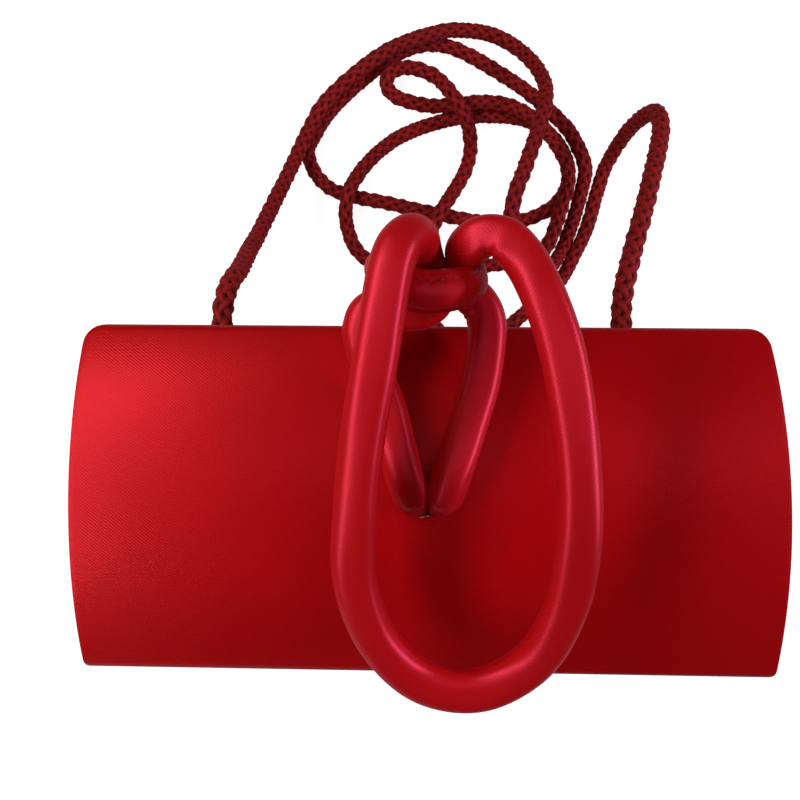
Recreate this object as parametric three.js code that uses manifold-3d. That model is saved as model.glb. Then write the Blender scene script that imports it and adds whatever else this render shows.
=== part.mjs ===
// Crossbody bag: a stiff satin box bag with a domed flap, a padded handle tied in a half knot,
// and a long braided cord strap that lies loose on the table behind it.
// Millimetres, +Z up, +X along the bag's width, -Y towards its front. The origin lies on the
// underside of the base, below the middle of the flap.

import * as THREE from 'three';
import { mergeVertices } from 'three/addons/utils/BufferGeometryUtils.js';
import Module from 'manifold-3d';

const wasm = await Module();
wasm.setup();

// Overall form of the box and its flap.
const FLAP_WIDTH = 174;
const BAG_DEPTH = 86.6;
const HINGE_HEIGHT = 113;
const SHOULDER_RISE = 5;
const DOME_RISE = 10.5;
const EDGE_ROUND = 6;
const APRON_DROP = 50;
const BACK_CORNER = 5;
const FRONT_CORNER = 2;

// Boards, cloth and the gaps between sewn layers.
const WALL = 2.2;
const BASE_BOARD = 2.4;
const FLAP_BOARD = 2;
const LINING = 0.6;
const SEAM = 0.3;
const LID_CLEARANCE = 0.4;
const FLAP_OVERHANG = 0.8;
const LINING_BELOW_HINGE = 17;

// Magnetic closure under the apron.
const MAGNET_DIAMETER = 14;
const MAGNET_THICKNESS = 0.8;
const MAGNET_AIR = 0.4;
const MAGNET_ABOVE_HEM = 12;

// Cord strap, its eyelets in the back wall and its stopper knots inside.
const CORD_DIAMETER = 6;
const CORD_SIDES = 10;
const CORD_STEPS = 96;
const EYELET_BORE = 8;
const EYELET_BARREL = 0.8;
const EYELET_FLANGE = 12;
const EYELET_RIM = 0.5;
const STOPPER_DIAMETER = 11;
const EXIT_BELOW_HINGE = 13;
const LEFT_EXIT_INSET = 30.3;
const RIGHT_EXIT_INSET = 33;
const EXIT_LEAD = 5.2;
const LEAD_SAG = 0.2;

// Padded handle tube and the slit that its tails go through.
const TUBE_DIAMETER = 9.4;
const TAIL_DIAMETER = 7.4;
const TAIL_TAPER = 18;
const SLIT_CLEARANCE = 1.2;
const TUBE_SIDES = 12;
const TUBE_STEPS = 130;

// The strap's route from where it hangs below the left exit to where it rises to the right one.
const STRAP_ROUTE = [
  [-56.2, 54.2, 97.6], [-55.8, 58.8, 92], [-55.8, 62.8, 83], [-56.4, 68, 72], [-57, 74, 60],
  [-57, 79.5, 49.5], [-54, 96, 32], [-49, 116, 16], [-44.5, 129.5, 10.4],
  [-37.5, 142, 9.6], [-13, 162.5, 9.6], [7.5, 170, 9.3], [15.5, 171.5, 7.8], [28.5, 169.5, 8],
  [40, 161, 11.5], [46.5, 148, 19], [46, 135.5, 27], [36.5, 107.5, 41], [32.5, 96.5, 43.5],
  [31.5, 88, 42], [35, 80.5, 34], [42.5, 75.5, 23], [51, 77.5, 12], [56.5, 83.5, 4.2],
  [61.5, 96, 3.4], [65, 110, 5.5], [65.5, 117, 8.2], [59.5, 130.5, 8.8], [54, 137, 8.2],
  [47, 145, 5.2], [36.5, 153.5, 3.4], [12.5, 166.5, 3.4], [1, 167.5, 3.4], [-10.5, 163, 3.4],
  [-34.5, 142.5, 3.4], [-42, 131.5, 3.4], [-45, 123.5, 3.4], [-37.5, 110.5, 3.4], [-9.5, 103, 3.4],
  [17.5, 97.5, 3.4], [31, 96, 3.4], [43, 97.5, 3.4], [52.5, 102, 3.4], [58, 108, 3.4],
  [60, 115, 3.4], [58.5, 123, 3.4], [54.5, 129.5, 3.4], [49, 134.5, 3.4], [41, 138, 3.4],
  [17, 138.5, 3.4], [-6, 131.5, 3.4], [-16, 124.5, 4.2], [-23.5, 115.5, 7], [-28, 106.5, 9.6],
  [-29.5, 99, 7], [-28.5, 92, 4.2], [-26, 86, 3.4], [-20.5, 80.5, 3.4], [-11.5, 77, 3.4],
  [11, 77.5, 3.4], [34, 79.5, 3.4], [43, 80, 3.4], [48.5, 83, 7.5], [51.8, 88.5, 9.6],
  [56.5, 103, 9.6], [58.5, 110, 9.6], [57.5, 119, 9.6], [48.5, 132.5, 9.6], [41.5, 138, 9.6],
  [33.5, 141.5, 9.2], [23.5, 142.5, 8.8], [13.5, 141.5, 8.4], [4, 142, 6], [-5.3, 144.3, 5],
  [-10.9, 146.3, 6], [-13.7, 150, 7.8], [-11.7, 154, 8.8], [-5.3, 155.8, 9.4], [5, 152, 11],
  [12, 143.5, 14.3], [17, 135.5, 14.6], [19.5, 129, 10.5], [20, 123, 6], [18, 116, 4.5],
  [9, 100, 9.6], [5.5, 93.5, 9], [3, 84.5, 9], [2, 76.5, 9.6], [1.5, 69, 7],
  [4, 59, 3.6], [9.5, 51, 3.4], [17.5, 47.5, 3.4], [25, 47.5, 3.4], [31, 50.5, 3.4],
  [43, 60, 3.4], [55.5, 71, 3.4], [63.5, 85.5, 3.4], [67, 93, 3.4], [72, 110.5, 3.4],
  [74, 117.5, 5], [75.5, 121.5, 9.5], [77.5, 126, 28], [78, 122, 54], [77, 114.5, 63],
  [67.5, 89, 81], [57.3, 63, 95.5], [54.8, 55, 98.8],
];

// The handle's route: across, along, and the height of the tube's underside above the crest.
// It passes the right tail, a turn behind the left arch, the band across the knot's front, the
// right arch and arm, the front of the loop, the left arm and arch, a dive under the band, and
// the left tail.
const HANDLE_ROUTE = [
  [3.4, -0.6, -6.1], [3.4, -0.5, -3], [3.9, 3.6, 0.3], [5.6, 10.5, 0.5], [8.6, 18.5, -0.5],
  [11.8, 29, -2.6], [13.3, 38, -3.8], [13.6, 42.5, -4.2], [12.4, 46.8, -4.4], [9.2, 50.2, -4.6],
  [4.5, 52.6, -4.8], [-0.5, 54, -4.8], [-6, 54.8, -3.4], [-10, 55, 0.8], [-11, 54.2, 6.2],
  [-9.6, 51.2, 11.4], [-5.4, 48.6, 14], [-1, 47.8, 14.4], [3.4, 48.3, 14.3], [7, 49.6, 12],
  [7.8, 51.8, 9], [6.6, 54.8, 8.4], [6, 57.6, 11], [7.4, 59.6, 14.6], [11, 60.2, 16.6],
  [14.4, 58.2, 17.2], [18, 54.6, 17.8], [22, 47.5, 19.8], [25.5, 37, 21.3], [28, 24.5, 21.8],
  [29.8, 10, 21.3], [30.5, -5, 18.8], [28.8, -20.5, 13.8], [22.8, -34, 8.3], [11, -41.2, 5.6],
  [-1.6, -39.4, 6], [-11.2, -30.2, 8.8], [-16.8, -15, 13.8], [-16.5, 2, 18.4], [-14.8, 18, 21.5],
  [-12.5, 32, 23.8], [-10.8, 43, 24.6], [-8.9, 53, 24.4], [-6.8, 57.6, 22.4], [-4.2, 59.2, 18],
  [-3, 57.2, 11.4], [-2.1, 53.6, 6.4], [-1, 50, 3.8], [-1.8, 47, 2.6], [-5.6, 45.6, 2.4],
  [-10.4, 45.8, 2.6], [-14, 45.8, 2.8], [-16.3, 43, 2.6], [-16, 39.2, 1.6], [-14.5, 34, 0.2],
  [-12.8, 28.5, -0.6], [-10.2, 21.5, -0.2], [-7.5, 14.5, 0.4], [-5, 5.5, 0.5], [-4.4, 2.6, 0],
  [-4.3, -0.5, -3], [-4.3, -0.6, -6.1],
];

// Values worked out from the sizes above.
const halfDepth = BAG_DEPTH / 2;
const flapBuild = FLAP_BOARD + SEAM + LINING;
const closureGap = SEAM + MAGNET_THICKNESS + MAGNET_AIR + MAGNET_THICKNESS + SEAM;
const bodyHalfWidth = FLAP_WIDTH / 2 - FLAP_OVERHANG;
const frontFace = -(halfDepth - flapBuild - closureGap);
const wallFoot = BASE_BOARD + SEAM;
const panelTop = HINGE_HEIGHT - SEAM;
const apronHem = HINGE_HEIGHT - APRON_DROP;
const crestHeight = HINGE_HEIGHT + SHOULDER_RISE + DOME_RISE;
const domeRadius = (halfDepth ** 2 + DOME_RISE ** 2) / (2 * DOME_RISE);
const domeCentre = crestHeight - domeRadius;
const edgeCentreY = halfDepth - EDGE_ROUND;
const edgeCentreZ = domeCentre + Math.sqrt((domeRadius - EDGE_ROUND) ** 2 - edgeCentreY ** 2);
const edgeAngle = Math.atan2(edgeCentreZ - domeCentre, edgeCentreY);

const TOP = crestHeight * 2;
const ARC_SEGMENTS = 8;
const ROUND_SEGMENTS = 32;
const ALONG_X = new THREE.Matrix4().makeBasis(
  new THREE.Vector3(0, 1, 0),
  new THREE.Vector3(0, 0, 1),
  new THREE.Vector3(1, 0, 0),
);

const SATIN = { color: 0xa50d14, roughness: 0.42, metalness: 0 };
const SATIN_TUBE = { color: 0xb01218, roughness: 0.38, metalness: 0 };
const BRAID = { color: 0x7d0d12, roughness: 0.7, metalness: 0 };
const LINING_CLOTH = { color: 0x5c0d12, roughness: 0.85, metalness: 0 };
const EYELET_METAL = { color: 0xb08a4a, roughness: 0.35, metalness: 1 };
const MAGNET_METAL = { color: 0xc2c2c4, roughness: 0.3, metalness: 1 };

const bag = new THREE.Group();
const flapGroup = new THREE.Group();
bag.add(flapGroup);

function addPiece(parent, name, geometry, finish) {
  const mesh = new THREE.Mesh(geometry, new THREE.MeshStandardMaterial(finish));
  mesh.name = name;
  parent.add(mesh);
  return mesh;
}

function toSolid(geometry) {
  const bare = geometry.clone();
  bare.deleteAttribute('normal');
  bare.deleteAttribute('uv');
  const merged = mergeVertices(bare);
  return new wasm.Manifold(new wasm.Mesh({
    numProp: 3,
    vertProperties: new Float32Array(merged.attributes.position.array),
    triVerts: new Uint32Array(merged.index.array),
  }));
}

function toGeometry(solid) {
  const mesh = solid.getMesh();
  const geometry = new THREE.BufferGeometry();
  geometry.setAttribute('position', new THREE.BufferAttribute(mesh.vertProperties, 3));
  geometry.setIndex(new THREE.BufferAttribute(mesh.triVerts, 1));
  geometry.computeVertexNormals();
  return geometry;
}

// A block between two corners.
function block(low, high) {
  const size = high.map((value, axis) => value - low[axis]);
  const centre = high.map((value, axis) => (value + low[axis]) / 2);
  return new THREE.BoxGeometry(...size).translate(...centre);
}

// A side outline, drawn in Y and Z, pulled out along the bag's width.
function pullAlongX(outline, from, to) {
  const options = { depth: to - from, bevelEnabled: false, curveSegments: ARC_SEGMENTS };
  const geometry = new THREE.ExtrudeGeometry(outline, options);
  return geometry.translate(0, 0, from).applyMatrix4(ALONG_X);
}

// A round bar along Y, for discs and for the holes of the eyelets.
function barAlongY(diameter, from, to, x, z) {
  const bar = new THREE.CylinderGeometry(diameter / 2, diameter / 2, to - from, ROUND_SEGMENTS);
  return bar.translate(x, (from + to) / 2, z);
}

// The flap's side outline between two depths below its outer skin: a short back edge, a dome, and
// an apron that falls over the front.
function flapOutline(outer, inner, hem) {
  const back = HINGE_HEIGHT + SEAM;
  const outline = new THREE.Shape();
  outline.moveTo(halfDepth - outer, back);
  outline.lineTo(halfDepth - outer, edgeCentreZ);
  outline.absarc(edgeCentreY, edgeCentreZ, EDGE_ROUND - outer, 0, edgeAngle, false);
  outline.absarc(0, domeCentre, domeRadius - outer, edgeAngle, Math.PI - edgeAngle, false);
  outline.absarc(-edgeCentreY, edgeCentreZ, EDGE_ROUND - outer, Math.PI - edgeAngle, Math.PI, false);
  outline.lineTo(-halfDepth + outer, hem);
  outline.lineTo(-halfDepth + inner, hem);
  outline.lineTo(-halfDepth + inner, edgeCentreZ);
  outline.absarc(-edgeCentreY, edgeCentreZ, EDGE_ROUND - inner, Math.PI, Math.PI - edgeAngle, true);
  outline.absarc(0, domeCentre, domeRadius - inner, Math.PI - edgeAngle, edgeAngle, true);
  outline.absarc(edgeCentreY, edgeCentreZ, EDGE_ROUND - inner, edgeAngle, 0, true);
  outline.lineTo(halfDepth - inner, back);
  outline.closePath();
  return outline;
}

// The flap's outline from above, with round back corners and nearly square front ones.
function flapPlan(inset) {
  const x = FLAP_WIDTH / 2 - inset;
  const y = halfDepth;
  const plan = new THREE.Shape();
  plan.moveTo(-x + FRONT_CORNER, -y);
  plan.lineTo(x - FRONT_CORNER, -y);
  plan.absarc(x - FRONT_CORNER, -y + FRONT_CORNER, FRONT_CORNER, -Math.PI / 2, 0, false);
  plan.lineTo(x, y - BACK_CORNER);
  plan.absarc(x - BACK_CORNER, y - BACK_CORNER, BACK_CORNER, 0, Math.PI / 2, false);
  plan.lineTo(-x + BACK_CORNER, y);
  plan.absarc(-x + BACK_CORNER, y - BACK_CORNER, BACK_CORNER, Math.PI / 2, Math.PI, false);
  plan.lineTo(-x, -y + FRONT_CORNER);
  plan.absarc(-x + FRONT_CORNER, -y + FRONT_CORNER, FRONT_CORNER, Math.PI, Math.PI * 1.5, false);
  const options = { depth: TOP, bevelEnabled: false, curveSegments: ARC_SEGMENTS / 2 };
  return new THREE.ExtrudeGeometry(plan, options);
}

function flapLayer(outer, inner, hem, inset) {
  const half = FLAP_WIDTH / 2;
  const layer = toSolid(pullAlongX(flapOutline(outer, inner, hem), -half, half));
  return layer.intersect(toSolid(flapPlan(inset)));
}

// The slit in the flap: a slot just wider than the two tails side by side.
function handleSlit() {
  const right = HANDLE_ROUTE[0];
  const left = HANDLE_ROUTE[HANDLE_ROUTE.length - 1];
  const radius = TAIL_DIAMETER / 2 + SLIT_CLEARANCE;
  const slot = new THREE.Shape();
  slot.absarc(right[0], right[1], radius, -Math.PI / 2, Math.PI / 2, false);
  slot.absarc(left[0], left[1], radius, Math.PI / 2, Math.PI * 1.5, false);
  slot.closePath();
  const options = { depth: TOP, bevelEnabled: false, curveSegments: ARC_SEGMENTS };
  return toSolid(new THREE.ExtrudeGeometry(slot, options));
}

function regularSection(diameter, sides) {
  const corners = Array.from({ length: sides }, (_, i) => {
    const turn = (i / sides) * Math.PI * 2;
    return new THREE.Vector2(Math.cos(turn), Math.sin(turn)).multiplyScalar(diameter / 2);
  });
  return new THREE.Shape(corners);
}

function sweep(route, diameter, sides, steps) {
  const extrudePath = new THREE.CatmullRomCurve3(route.map((p) => new THREE.Vector3(...p)));
  const section = regularSection(diameter, sides);
  return { path: extrudePath, geometry: new THREE.ExtrudeGeometry(section, { steps, extrudePath }) };
}

// Narrows the two ends of a swept tube, ring by ring, towards its centreline.
function taperEnds({ path, geometry }, steps, diameter, endDiameter, taper) {
  const centres = path.getSpacedPoints(steps);
  const length = path.getLength();
  const position = geometry.attributes.position;
  const vertex = new THREE.Vector3();
  for (let i = 0; i < position.count; i += 1) {
    vertex.fromBufferAttribute(position, i);
    const misfit = centres.map((centre) => Math.abs(centre.distanceTo(vertex) - diameter / 2));
    const ring = misfit.indexOf(Math.min(...misfit));
    const fromEnd = (Math.min(ring, steps - ring) / steps) * length;
    const share = THREE.MathUtils.smoothstep(fromEnd, 0, taper);
    const scale = THREE.MathUtils.lerp(endDiameter / diameter, 1, share);
    vertex.sub(centres[ring]).multiplyScalar(scale).add(centres[ring]);
    position.setXYZ(i, vertex.x, vertex.y, vertex.z);
  }
  return geometry;
}

// Body: base, front, back and two gussets, each a covered board.
function buildBody() {
  const foot = [-bodyHalfWidth, frontFace, 0];
  addPiece(bag, 'base_panel', block(foot, [bodyHalfWidth, halfDepth, BASE_BOARD]), SATIN);

  const frontHigh = [bodyHalfWidth, frontFace + WALL, panelTop];
  addPiece(bag, 'front_panel', block([-bodyHalfWidth, frontFace, wallFoot], frontHigh), SATIN);

  const backLow = [-bodyHalfWidth, halfDepth - WALL, wallFoot];
  let back = toSolid(block(backLow, [bodyHalfWidth, halfDepth, panelTop]));
  const holeDiameter = EYELET_BORE + 2 * (EYELET_BARREL + SEAM);
  for (const exit of strapExits()) {
    const hole = barAlongY(holeDiameter, halfDepth - 2 * WALL, halfDepth + WALL, exit[0], exit[2]);
    back = back.subtract(toSolid(hole));
  }
  addPiece(bag, 'back_panel', toGeometry(back), SATIN);

  const gusset = gussetOutline();
  const outer = bodyHalfWidth;
  addPiece(bag, 'left_gusset', pullAlongX(gusset, -outer, -outer + WALL), SATIN);
  addPiece(bag, 'right_gusset', pullAlongX(gusset, outer - WALL, outer), SATIN);
}

// A gusset fills the side between front and back, and its top follows the flap's underside.
function gussetOutline() {
  const depth = flapBuild + LID_CLEARANCE;
  const front = frontFace + WALL + SEAM;
  const back = halfDepth - WALL - SEAM;
  const step = Math.min(back, halfDepth - depth);
  const radius = domeRadius - depth;
  const outline = new THREE.Shape();
  outline.moveTo(front, wallFoot);
  outline.lineTo(back, wallFoot);
  outline.lineTo(back, panelTop);
  outline.lineTo(step, panelTop);
  outline.lineTo(step, edgeCentreZ);
  outline.absarc(edgeCentreY, edgeCentreZ, EDGE_ROUND - depth, 0, edgeAngle, false);
  outline.absarc(0, domeCentre, radius, edgeAngle, Math.acos(front / radius), false);
  outline.closePath();
  return outline;
}

// Lining: an open pouch of thin cloth inside the boards.
function buildLining() {
  const x = bodyHalfWidth - WALL - SEAM;
  const front = frontFace + WALL + SEAM;
  const back = halfDepth - WALL - SEAM;
  const outside = toSolid(block([-x, front, wallFoot], [x, back, HINGE_HEIGHT - LINING_BELOW_HINGE]));
  const low = [-x + LINING, front + LINING, wallFoot + LINING];
  const inside = toSolid(block(low, [x - LINING, back - LINING, TOP]));
  addPiece(bag, 'lining', toGeometry(outside.subtract(inside)), LINING_CLOTH);
}

// The strap's two ends, on the inside of the back wall's lining.
function strapExits() {
  const half = FLAP_WIDTH / 2;
  const inside = halfDepth - WALL - SEAM - LINING;
  const height = HINGE_HEIGHT - EXIT_BELOW_HINGE;
  return [[-half + LEFT_EXIT_INSET, inside, height], [half - RIGHT_EXIT_INSET, inside, height]];
}

// The strap's whole centreline: straight out of each eyelet, then along its lie.
function strapLine() {
  const [left, right] = strapExits();
  const lead = ([x, , z]) => [x, halfDepth + EXIT_LEAD, z - LEAD_SAG];
  return [left, lead(left), ...STRAP_ROUTE, lead(right), right];
}

// An eyelet: a barrel through the back wall with a flange on its outside.
function eyeletGeometry() {
  const bore = EYELET_BORE / 2;
  const barrel = bore + EYELET_BARREL;
  const flange = EYELET_FLANGE / 2;
  const inside = halfDepth - WALL;
  const seat = halfDepth + SEAM;
  const outside = seat + EYELET_RIM;
  const profile = [
    [bore, inside], [barrel, inside], [barrel, seat], [flange, seat], [flange, outside], [bore, outside],
    [bore, inside],
  ];
  return new THREE.LatheGeometry(profile.map((p) => new THREE.Vector2(...p)), ROUND_SEGMENTS);
}

// Strap: the braided cord, its two eyelets and the stopper knots that hold it from inside.
function buildStrap() {
  const strap = sweep(strapLine(), CORD_DIAMETER, CORD_SIDES, CORD_STEPS);
  addPiece(bag, 'strap_cord', strap.geometry, BRAID);
  strapExits().forEach((exit, i) => {
    const side = ['left', 'right'][i];
    const eyelet = addPiece(bag, `${side}_eyelet`, eyeletGeometry(), EYELET_METAL);
    eyelet.position.set(exit[0], 0, exit[2]);
    const ball = new THREE.SphereGeometry(STOPPER_DIAMETER / 2, ROUND_SEGMENTS / 2, ROUND_SEGMENTS / 4);
    const stopper = addPiece(bag, `${side}_stopper_knot`, ball, BRAID);
    stopper.position.set(exit[0], exit[1] - SEAM - STOPPER_DIAMETER / 2, exit[2]);
  });
}

// Flap: the domed cover with its slit, its lining, the knotted handle and the magnets.
function buildFlap() {
  const cover = flapLayer(0, FLAP_BOARD, apronHem, 0).subtract(handleSlit());
  addPiece(flapGroup, 'flap', toGeometry(cover), SATIN);
  const liningHem = apronHem + SEAM;
  const cloth = flapLayer(FLAP_BOARD + SEAM, flapBuild, liningHem, FLAP_OVERHANG);
  addPiece(flapGroup, 'flap_lining', toGeometry(cloth), LINING_CLOTH);

  const magnetZ = apronHem + MAGNET_ABOVE_HEM;
  const apronFace = -halfDepth + flapBuild + SEAM;
  const flapDisc = barAlongY(MAGNET_DIAMETER, apronFace, apronFace + MAGNET_THICKNESS, 0, magnetZ);
  addPiece(flapGroup, 'flap_magnet', flapDisc, MAGNET_METAL);
  const seat = frontFace - SEAM;
  const frontDisc = barAlongY(MAGNET_DIAMETER, seat - MAGNET_THICKNESS, seat, 0, magnetZ);
  addPiece(bag, 'front_magnet', frontDisc, MAGNET_METAL);
}

function buildHandle() {
  const lift = crestHeight + TUBE_DIAMETER / 2;
  const route = HANDLE_ROUTE.map(([x, y, z]) => [x, y, z + lift]);
  const tube = sweep(route, TUBE_DIAMETER, TUBE_SIDES, TUBE_STEPS);
  const tapered = taperEnds(tube, TUBE_STEPS, TUBE_DIAMETER, TAIL_DIAMETER, TAIL_TAPER);
  addPiece(flapGroup, 'knotted_handle', tapered, SATIN_TUBE);
}

buildBody();
buildLining();
buildStrap();
buildFlap();
buildHandle();

export default bag;
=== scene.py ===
# %% [markdown]
# # A satin box bag with a knotted handle
# The bag stands upright on a table and is seen from straight above. Its domed flap is a stiff board
# covered with red satin. A padded satin tube comes up through a slit in the flap and is tied in a half
# knot, and a braided cord strap lies loose behind the bag. The solids are loaded first, as the fixed
# frame that every soft piece is fitted to.

# %% Frame and units
import math

import bmesh
import bpy
import numpy as np
from mathutils import Matrix, Vector
from mathutils.kdtree import KDTree


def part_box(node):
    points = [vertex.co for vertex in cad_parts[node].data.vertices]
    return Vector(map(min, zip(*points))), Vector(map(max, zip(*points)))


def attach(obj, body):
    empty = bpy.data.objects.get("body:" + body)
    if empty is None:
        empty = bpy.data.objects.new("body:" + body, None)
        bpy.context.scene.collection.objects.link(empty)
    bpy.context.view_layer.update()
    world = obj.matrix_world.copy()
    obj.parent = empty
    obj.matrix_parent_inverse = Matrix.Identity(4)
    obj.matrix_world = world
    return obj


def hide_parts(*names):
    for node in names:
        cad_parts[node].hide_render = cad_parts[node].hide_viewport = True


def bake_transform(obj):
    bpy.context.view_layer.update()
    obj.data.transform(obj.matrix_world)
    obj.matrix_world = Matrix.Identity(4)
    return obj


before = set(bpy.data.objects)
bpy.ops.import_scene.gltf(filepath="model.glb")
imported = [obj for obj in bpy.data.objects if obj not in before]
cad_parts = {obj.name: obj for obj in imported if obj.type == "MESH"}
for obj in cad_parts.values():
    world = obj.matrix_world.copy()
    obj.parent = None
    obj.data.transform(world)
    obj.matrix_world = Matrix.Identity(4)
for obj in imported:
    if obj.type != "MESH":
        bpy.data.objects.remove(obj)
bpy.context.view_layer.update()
MM = 0.001

# %% [markdown]
# ## The camera
# The bag is seen from close above, so the near flap looks much larger than the cord on the table. A
# camera that close needs a short lens: 770 pixels of focal length on an image of 800 is about 35 mm on a
# 36 mm sensor.

# %% Camera above the flap
CAMERA_PLACE = Vector((-7.3, 24.4, 313.7)) * MM
FOCAL_PIXELS = 770
IMAGE_PIXELS = 800
SENSOR = 36
CAMERA_ROLL = math.radians(0.4)
NEAREST_SEEN = 10 * MM

camera_data = bpy.data.cameras.new("camera")
camera_data.sensor_width = SENSOR
camera_data.lens = SENSOR * FOCAL_PIXELS / IMAGE_PIXELS
camera_data.clip_start = NEAREST_SEEN
camera = bpy.data.objects.new("camera", camera_data)
camera.location = CAMERA_PLACE
camera.rotation_euler = (0, 0, CAMERA_ROLL)
bpy.context.collection.objects.link(camera)
bpy.context.scene.camera = camera
print("lens", round(camera_data.lens, 2), "mm")

# %% [markdown]
# ## The strap's line
# A strap is one fixed length of cord, so its route is settled before its looks. The points follow the
# cord from the left eyelet down to the table, through its loops and crossings, and up the hook on the
# right to the other eyelet. A centripetal spline through them never overshoots into a kink.

# %% Strap route
STRAP_POINTS = [
    (-56.7, 40.2, 100), (-56.7, 48.5, 99.8), (-56.2, 54.2, 97.6), (-55.8, 58.8, 92), (-55.8, 62.8, 83),
    (-56.4, 68, 72), (-57, 74, 60), (-57, 79.5, 49.5), (-54, 96, 32), (-49, 116, 16),
    (-44.5, 129.5, 10.4), (-37.5, 142, 9.6), (-13, 162.5, 9.6), (7.5, 170, 9.3), (15.5, 171.5, 7.8),
    (28.5, 169.5, 8),
    (40, 161, 11.5), (46.5, 148, 19), (46, 135.5, 27), (36.5, 107.5, 41), (32.5, 96.5, 43.5),
    (31.5, 88, 42), (35, 80.5, 34), (42.5, 75.5, 23), (51, 77.5, 12), (56.5, 83.5, 4.2),
    (61.5, 96, 3.4), (65, 110, 5.5), (65.5, 117, 8.2), (59.5, 130.5, 8.8), (54, 137, 8.2),
    (47, 145, 5.2), (36.5, 153.5, 3.4), (12.5, 166.5, 3.4), (1, 167.5, 3.4), (-10.5, 163, 3.4),
    (-34.5, 142.5, 3.4), (-42, 131.5, 3.4), (-45, 123.5, 3.4), (-37.5, 110.5, 3.4), (-9.5, 103, 3.4),
    (17.5, 97.5, 3.4), (31, 96, 3.4), (43, 97.5, 3.4), (52.5, 102, 3.4), (58, 108, 3.4),
    (60, 115, 3.4), (58.5, 123, 3.4), (54.5, 129.5, 3.4), (49, 134.5, 3.4), (41, 138, 3.4),
    (17, 138.5, 3.4), (-6, 131.5, 3.4), (-16, 124.5, 4.2), (-23.5, 115.5, 7), (-28, 106.5, 9.6),
    (-29.5, 99, 7), (-28.5, 92, 4.2), (-26, 86, 3.4), (-20.5, 80.5, 3.4), (-11.5, 77, 3.4),
    (11, 77.5, 3.4), (34, 79.5, 3.4), (43, 80, 3.4), (48.5, 83, 7.5), (51.8, 88.5, 9.6),
    (56.5, 103, 9.6), (58.5, 110, 9.6), (57.5, 119, 9.6), (48.5, 132.5, 9.6), (41.5, 138, 9.6),
    (33.5, 141.5, 9.2), (23.5, 142.5, 8.8), (13.5, 141.5, 8.4), (4, 142, 6), (-5.3, 144.3, 5),
    (-10.9, 146.3, 6), (-13.7, 150, 7.8), (-11.7, 154, 8.8), (-5.3, 155.8, 9.4), (5, 152, 11),
    (12, 143.5, 14.3), (17, 135.5, 14.6), (19.5, 129, 10.5), (20, 123, 6), (18, 116, 4.5),
    (9, 100, 9.6), (5.5, 93.5, 9), (3, 84.5, 9), (2, 76.5, 9.6), (1.5, 69, 7),
    (4, 59, 3.6), (9.5, 51, 3.4), (17.5, 47.5, 3.4), (25, 47.5, 3.4), (31, 50.5, 3.4),
    (43, 60, 3.4), (55.5, 71, 3.4), (63.5, 85.5, 3.4), (67, 93, 3.4), (72, 110.5, 3.4),
    (74, 117.5, 5), (75.5, 121.5, 9.5), (77.5, 126, 28), (78, 122, 54), (77, 114.5, 63),
    (67.5, 89, 81), (57.3, 63, 95.5), (54.8, 55, 98.8), (54, 48.5, 99.8), (54, 40.2, 100),
]
HALF_DEPTH = 43.3 * MM
STRAP_STEP = 0.85 * MM
SPAN_POINTS = 24
CENTRIPETAL = 0.5


def evenly(path, count):
    """So many points at even distances along a line of points, and those distances."""
    along = np.r_[0, np.cumsum(np.linalg.norm(np.diff(path, axis=0), axis=1))]
    even = np.linspace(0, along[-1], count)
    return np.stack([np.interp(even, along, values) for values in path.T], axis=1), even


def smooth_line(points, step):
    """A centripetal spline through the points, in metres, with even steps along it, and its length."""
    p = np.array(points, float) * MM
    p = np.vstack([2 * p[0] - p[1], p, 2 * p[-1] - p[-2]])
    t = np.linspace(0, 1, SPAN_POINTS, endpoint=False)[:, None]
    spans = []
    for a, b, c, d in zip(p, p[1:], p[2:], p[3:]):
        u, v, w = (np.linalg.norm(y - x) ** CENTRIPETAL for x, y in ((a, b), (b, c), (c, d)))
        out = v * ((b - a) / u - (c - a) / (u + v) + (c - b) / v)
        into = v * ((c - b) / v - (d - b) / (v + w) + (d - c) / w)
        square = 3 * (c - b) - 2 * out - into
        cube = 2 * (b - c) + out + into
        spans.append(b + out * t + square * t**2 + cube * t**3)
    fine = np.vstack(spans + [p[-2:-1]])
    length = np.linalg.norm(np.diff(fine, axis=0), axis=1).sum()
    return evenly(fine, int(round(length / step)) + 1)[0], length


strap_line, strap_length = smooth_line(STRAP_POINTS, STRAP_STEP)
print("strap", round(strap_length, 3), "m,", len(strap_line), "rings")

# %% [markdown]
# ## The braid
# The cord is a round braid of eight strands. Four run clockwise and four anticlockwise, and each dives
# under every other crossing, which gives the columns of slanting cells on every side. A tube with a
# bumpy finish would lose that outline, so each strand is a bevelled spline of its own around the line.

# %% Tubes along a line
ANY_SIDE = (0.31, 0.42, 0.85)


def turning_frames(line):
    """Directions along the line and two across it that don't twist."""
    along = np.gradient(line, axis=0)
    along /= np.linalg.norm(along, axis=1)[:, None]
    side = np.cross(along[0], ANY_SIDE)
    sides = []
    for t in along:
        side = side - t * np.dot(side, t)
        side = side / np.linalg.norm(side)
        sides.append(side)
    sides = np.array(sides)
    return along, sides, np.cross(along, sides)


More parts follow.
